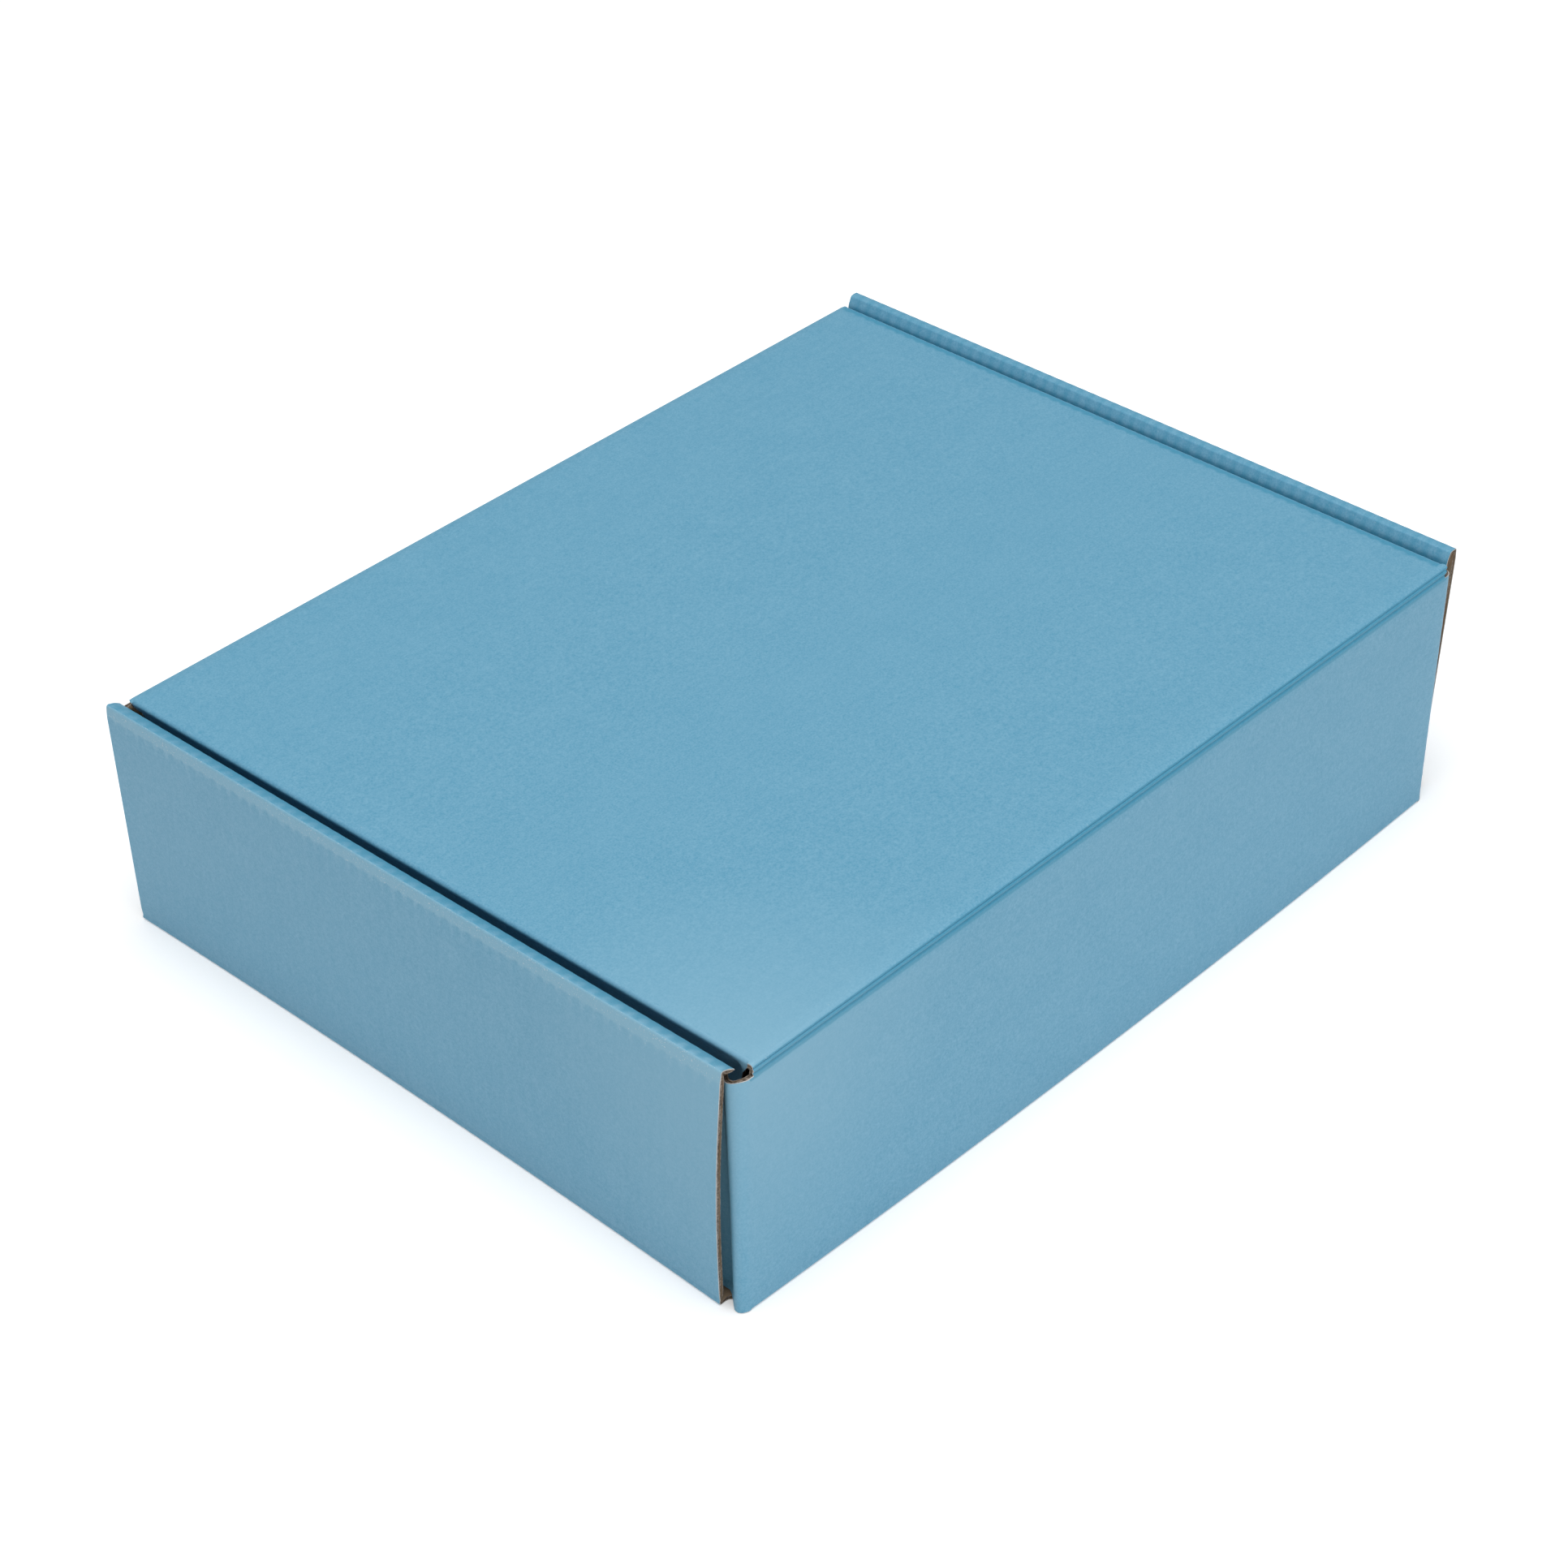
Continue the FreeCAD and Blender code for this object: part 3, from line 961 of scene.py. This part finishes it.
def printed_finish():
    """Sky-blue print on the white-topped outer liner, with paper mottle and crushed creases, painted
    shade and painted highlight along the creases, and a painted highlight on the lid's near corner.
    """
    f = Finish("printed_outer_face")
    crush = f.attribute("crush")
    flute = f.flutes()
    grain = f.noise(2300.0, 2.0, 0.6)
    mottle = f.noise(900.0, 3.0, 0.6)
    cloud = f.noise(110.0, 3.0, 0.55)
    level = f.attribute("tone")
    tone = (grain - 0.5) * 1.9 + (mottle - 0.5) * 1.0 + (cloud - 0.5) * 0.35 + 0.5 + flute * 0.025
    colour = f.mix(tone.clamped(), DEEP_SKY, PALE_SKY)
    colour = f.mix(0.45, colour, SKY)
    gap = {"operation": "DISTANCE"}
    # Painted highlight: the print is mixed paler towards the lid's near corner
    highlight_distance = f.node("ShaderNodeVectorMath", gap, 1, _0=f.place(), _1=PAINTED_HIGHLIGHT_CORNER)
    colour = f.mix((1.0 - highlight_distance / PAINTED_HIGHLIGHT_REACH).clamped() * 0.80, colour, PALE_SKY)
    # Painted shade where the tone is deep, and a painted highlight, partly crushed print, where it is
    # pale, with saw-teeth in step with the flutes
    teeth = flute * 0.10 + (mottle - 0.5) * 0.35
    deep = ((teeth - level - 0.30) * 3.5).clamped()
    colour = f.mix(deep * 0.62, colour, CREASE_SHADE_SKY)
    pale = ((teeth + level - 0.25) * 3.0).clamped()
    colour = f.mix(pale * 0.55, colour, CREASE_HIGHLIGHT_AND_WORN_SKY)
    specks = ((f.noise(3100.0, 1.0) - 0.72) * 14.0).clamped()
    colour = f.mix(specks * 0.35, colour, PALE_SKY)
    # White flecks, only within the painted highlight band
    sparkle = ((f.noise(2600.0, 2.0) - 0.62) * 12.0).clamped()
    colour = f.mix(sparkle * pale * 0.5, colour, WORN_WHITE)
    cracks = ((f.noise(1500.0, 3.0, 0.7) - 0.66) * 9.0).clamped() * ((crush - 0.25) * 3.0).clamped()
    colour = f.mix(cracks * 0.38, colour, WORN_WHITE)
    f.feed(Base_Color=colour, Roughness=0.46 + (grain - 0.5) * 0.2 + cracks * 0.2)
    f.feed(Specular_IOR_Level=0.42)
    f.relief(grain * 0.5 + mottle * 0.5, 0.00006, 0.6)
    return f.material


def kraft_finish():
    """Unprinted brown liner, with long fibres and darker flecks."""
    f = Finish("kraft_inner_face")
    fibres = f.noise(1.0, 4.0, 0.6, f.stretched((260.0, 1900.0, 1500.0)))
    cloud = f.noise(120.0, 3.0)
    tone = (fibres - 0.5) * 0.8 + (cloud - 0.5) * 0.5 + 0.5 + f.flutes() * 0.05
    colour = f.mix(tone.clamped(), KRAFT_DARK, KRAFT_PALE)
    colour = f.mix(0.45, colour, KRAFT)
    flecks = ((f.noise(1500.0, 2.0) - 0.68) * 9.0).clamped()
    colour = f.mix(flecks * 0.5, colour, KRAFT_DARK)
    f.feed(Base_Color=colour, Roughness=0.82 + (fibres - 0.5) * 0.15)
    f.feed(Specular_IOR_Level=0.25)
    f.relief(fibres, 0.00008, 0.6)
    return f.material


def cut_liner_finish():
    """The cut edge of the white-topped liner: a fuzzy off-white line."""
    f = Finish("cut_white_liner")
    fuzz = f.noise(2200.0, 3.0, 0.65)
    patch = f.noise(240.0, 2.0)
    tone = (fuzz - 0.5) * 1.2 + (patch - 0.5) * 0.9 + 0.5
    colour = f.mix(tone.clamped(), EDGE_GREY, EDGE_WHITE)
    f.feed(Base_Color=colour, Roughness=0.85 + (fuzz - 0.5) * 0.1)
    f.feed(Specular_IOR_Level=0.2)
    f.relief(fuzz, 0.00008, 0.6)
    return f.material


def medium_finish():
    """The brown fluted medium between the liners."""
    f = Finish("fluted_medium")
    fibres = f.noise(1900.0, 3.0, 0.6)
    cloud = f.noise(300.0, 2.0)
    tone = (fibres - 0.5) * 3.2 + (cloud - 0.5) * 0.8 + 0.5
    colour = f.mix(tone.clamped(), MEDIUM_DARK, MEDIUM_PALE)
    f.feed(Base_Color=colour, Roughness=0.88 + (fibres - 0.5) * 0.1)
    f.feed(Specular_IOR_Level=0.2)
    f.relief(fibres, 0.00006, 0.5)
    return f.material


MATERIALS = [printed_finish(), kraft_finish(), cut_liner_finish(), medium_finish()]
FLUTED_MEDIUM = MATERIALS[-1]


def flute_tree():
    """Geometry nodes: a wave of medium, set into a cut edge, in step with the board's flutes."""
    tree = bpy.data.node_groups.new("flute_wave", "GeometryNodeTree")
    face = tree.interface
    face.new_socket("Edge", in_out="INPUT", socket_type="NodeSocketGeometry")
    sizes = {}
    for label, value in (
        ("Pitch", FLUTE_PITCH * MM),
        ("Height", (BOARD - 2.0 * LINER - MEDIUM) * MM),
        ("Depth", FLUTE_DEPTH * MM),
        ("Thickness", MEDIUM * MM),
        ("Middle", BOARD / 2.0 * MM),
        ("Inset", 0.05 * MM),
    ):
        socket = face.new_socket(label, in_out="INPUT", socket_type="NodeSocketFloat")
        socket.default_value = value
        sizes[label] = socket.identifier
    face.new_socket("Wave", in_out="OUTPUT", socket_type="NodeSocketGeometry")

    def add(kind, settings=None, **inputs):
        return add_node(tree, kind, settings, **inputs)

    def field(name, kind):
        """A value that the edge carries at each vertex."""
        return add("GeometryNodeInputNamedAttribute", {"data_type": kind}, Name=name)

    def scaled(vector, scale):
        return add("ShaderNodeVectorMath", {"operation": "SCALE"}, _0=vector, Scale=scale)

    given = tree.nodes.new("NodeGroupInput").outputs
    edge = Socket(tree, given["Edge"])
    pitch, height, depth, thickness, middle, inset = (Socket(tree, given[label]) for label in sizes)
    side = field("side", "FLOAT_VECTOR")
    into = field("into", "FLOAT_VECTOR")
    curve = add("GeometryNodeMeshToCurve", Mesh=edge)
    by_length = {"mode": "LENGTH"}
    fine = add("GeometryNodeResampleCurve", by_length, Curve=curve, Length=pitch / STEPS_PER_FLUTE)
    wave = (field("along", "FLOAT") / pitch * (2.0 * math.pi)).cosine()
    lift = scaled(side, middle - wave * (height / 2.0))
    offset = add("ShaderNodeVectorMath", {"operation": "ADD"}, _0=lift, _1=scaled(into, inset))
    moved = add("GeometryNodeSetPosition", Geometry=fine, Offset=offset)
    strip = add("GeometryNodeCurveToMesh", Curve=moved)
    reach = scaled(into, depth)
    wall = add("GeometryNodeExtrudeMesh", {"mode": "EDGES"}, Mesh=strip, Offset=reach)
    whole = {"Mesh": wall, "Offset_Scale": thickness, "Individual": False}
    thick = add("GeometryNodeExtrudeMesh", {"mode": "FACES"}, **whole)
    back = add("GeometryNodeFlipFaces", Mesh=wall)
    both = add("GeometryNodeJoinGeometry", _0=thick)
    fill(tree, both.out.node.inputs[0], back)
    closed = add("GeometryNodeMergeByDistance", Geometry=both, Distance=1e-6)
    solid = add("GeometryNodeRealizeInstances", Geometry=closed)
    painted = add("GeometryNodeSetMaterial", Geometry=solid, Material=FLUTED_MEDIUM)
    fill(tree, tree.nodes.new("NodeGroupOutput").inputs[0], painted)
    return tree, sizes


def flute_piece(name, edges, tree, sizes, shift):
    """The fluted medium seen along a sheet's cut edges, as a plain mesh."""
    base, sides, into, flat, rolled, lines = edges
    used = sorted({v for pair in lines for v in pair})
    order = {v: i for i, v in enumerate(used)}
    mesh = bpy.data.meshes.new(name + "_lines")
    mesh.from_pydata([tuple(base[v] * MM) for v in used], [(order[a], order[b]) for a, b in lines], [])
    unit = into[used] / np.maximum(np.linalg.norm(into[used], axis=1), 1e-9)[:, None]
    for key, kind, field, values in (
        ("side", "FLOAT_VECTOR", "vector", sides[used].ravel()),
        ("into", "FLOAT_VECTOR", "vector", unit.ravel()),
        ("along", "FLOAT", "value", flat[used, 1] * MM),
        ("rolled", "FLOAT", "value", rolled[used]),
    ):
        mesh.attributes.new(key, kind, "POINT").data.foreach_set(field, values.astype(np.float32))
    piece = bpy.data.objects.new(name, mesh)
    bpy.context.scene.collection.objects.link(piece)
    modifier = piece.modifiers.new("flutes", "NODES")
    modifier.node_group = tree
    modifier[sizes["Pitch"]] = FLUTE_PITCH * MM
    bpy.context.view_layer.update()
    graph = bpy.context.evaluated_depsgraph_get()
    plain = bpy.data.meshes.new_from_object(piece.evaluated_get(graph))
    piece.modifiers.remove(modifier)
    piece.data = plain
    plain.name = name
    points = np.zeros(len(plain.vertices) * 3)
    plain.vertices.foreach_get("co", points)
    points = points.reshape(-1, 3) / MM
    on_roll = np.zeros(len(points), np.float32)
    plain.attributes["rolled"].data.foreach_get("value", on_roll)
    plain.vertices.foreach_set("co", (shift(points, np.round(on_roll)) * MM).ravel())
    plain.update()
    return piece


def outward(piece):
    """Turn a closed mesh's faces outwards."""
    work = bmesh.new()
    work.from_mesh(piece.data)
    bmesh.ops.recalc_face_normals(work, faces=work.faces)
    work.to_mesh(piece.data)
    work.free()


FLUTE_TREE, FLUTE_SIZES = flute_tree()
TRAY, TRAY_EDGES = board_mesh("tray_sheet", tray_face(), MATERIALS, tray_settled)
LID, LID_EDGES = board_mesh("lid_sheet", lid_face(), MATERIALS, lid_settled)
HINGE, HINGE_EDGES = board_mesh("hinge_crease", hinge_face(), MATERIALS, hinge_settled)
TRAY_FLUTES = flute_piece("tray_flutes", TRAY_EDGES, FLUTE_TREE, FLUTE_SIZES, tray_settled)
LID_FLUTES = flute_piece("lid_flutes", LID_EDGES, FLUTE_TREE, FLUTE_SIZES, lid_settled)
HINGE_FLUTES = flute_piece("hinge_flutes", HINGE_EDGES, FLUTE_TREE, FLUTE_SIZES, hinge_settled)
for made in (TRAY, LID, HINGE, TRAY_FLUTES, LID_FLUTES, HINGE_FLUTES):
    outward(made)

for made, body in ((TRAY, "tray"), (TRAY_FLUTES, "tray"), (LID, "lid"), (LID_FLUTES, "lid")):
    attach(made, body)
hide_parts("tray")
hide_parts("lid")

# The crease and its flutes keep their place, their transforms baked into their points.
for made in (HINGE, HINGE_FLUTES):
    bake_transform(made)


# Camera, where the photograph was taken from
PHOTO_SIDE = 1932.0
FOCAL_PIXELS = 4585.6
SENSOR = 36.0
CAMERA_PLACE = (0.4879, 0.4731, 0.5181)
CAMERA_AZIMUTH = 134.455
CAMERA_ELEVATION = 36.363
CAMERA_ROLL = -1.942


def add_camera():
    """The camera, turned by its azimuth, elevation and roll."""
    angles = (CAMERA_AZIMUTH, CAMERA_ELEVATION, CAMERA_ROLL)
    azimuth, elevation, roll = (math.radians(angle) for angle in angles)
    level = Vector((math.cos(azimuth), math.sin(azimuth), 0.0))
    forward = Vector((-math.sin(azimuth), math.cos(azimuth), 0.0))
    ahead = forward * math.cos(elevation) - Vector((0.0, 0.0, math.sin(elevation)))
    above = level.cross(ahead)
    right = level * math.cos(roll) + above * math.sin(roll)
    up = above * math.cos(roll) - level * math.sin(roll)
    data = bpy.data.cameras.new("camera")
    data.sensor_width = SENSOR
    data.lens = FOCAL_PIXELS / PHOTO_SIDE * SENSOR
    data.clip_start, data.clip_end = 0.01, 20.0
    camera = bpy.data.objects.new("camera", data)
    turn = Matrix((right, up, -ahead)).transposed().to_4x4()
    camera.matrix_world = Matrix.Translation(CAMERA_PLACE) @ turn
    bpy.context.scene.collection.objects.link(camera)
    bpy.context.scene.camera = camera


# Light and surround. Distances are in metres and powers in watts.
FLOOR_REACH = 6.0
FLOOR_GLOW = 0.30
SURROUND = 0.33


def add_lamp(name, place, target, size, power):
    """A soft rectangular lamp that faces a target."""
    data = bpy.data.lights.new(name, "AREA")
    data.shape = "RECTANGLE"
    data.size, data.size_y = size
    data.energy = power
    lamp = bpy.data.objects.new(name, data)
    facing = (Vector(target) - Vector(place)).to_track_quat("-Z", "Y")
    lamp.matrix_world = Matrix.Translation(place) @ facing.to_matrix().to_4x4()
    bpy.context.scene.collection.objects.link(lamp)


def rays(tree, kind):
    """1 for rays of one kind, 0 for the others."""
    return Socket(tree, tree.nodes.new("ShaderNodeLightPath").outputs[kind])


def add_floor():
    """A pale floor that keeps the box's shadow and is white where nothing shades it."""
    mesh = bpy.data.meshes.new("floor")
    quarters = ((-1, -1), (1, -1), (1, 1), (-1, 1))
    corners = [(x * FLOOR_REACH, y * FLOOR_REACH, 0.0) for x, y in quarters]
    mesh.from_pydata(corners, [], [(0, 1, 2, 3)])
    floor = bpy.data.objects.new("floor", mesh)
    bpy.context.scene.collection.objects.link(floor)
    f = Finish("floor_white")
    f.feed(Base_Color=(0.93, 0.93, 0.93), Roughness=0.9, Specular_IOR_Level=0.1)
    seen = rays(f.tree, "Is Camera Ray") + rays(f.tree, "Is Glossy Ray")
    glow = f.node("ShaderNodeEmission", Strength=seen * FLOOR_GLOW)
    both = f.node("ShaderNodeAddShader", _0=Socket(f.tree, f.shader.outputs[0]), _1=glow)
    fill(f.tree, f.tree.nodes["Material Output"].inputs["Surface"], both)
    mesh.materials.append(f.material)


def add_world():
    """An even pale surround, white where the camera sees it."""
    world = bpy.data.worlds.new("surround")
    world.use_nodes = True
    tree = world.node_tree
    background = tree.nodes["Background"].inputs
    fill(tree, background["Color"], (1.0, 1.0, 1.0))
    fill(tree, background["Strength"], SURROUND + rays(tree, "Is Camera Ray") * (1.0 - SURROUND))
    bpy.context.scene.world = world


add_camera()
add_floor()
add_world()
add_lamp("overhead", (0.1, 0.1, 1.5), (0.0, 0.0, 0.0), (1.2, 1.2), 17.0)
add_lamp("beside_the_back_wall", (0.6, 1.2, 0.22), (0.0, 0.1, 0.0), (1.0, 0.4), 3.6)
bpy.context.scene.view_settings.view_transform = "Standard"
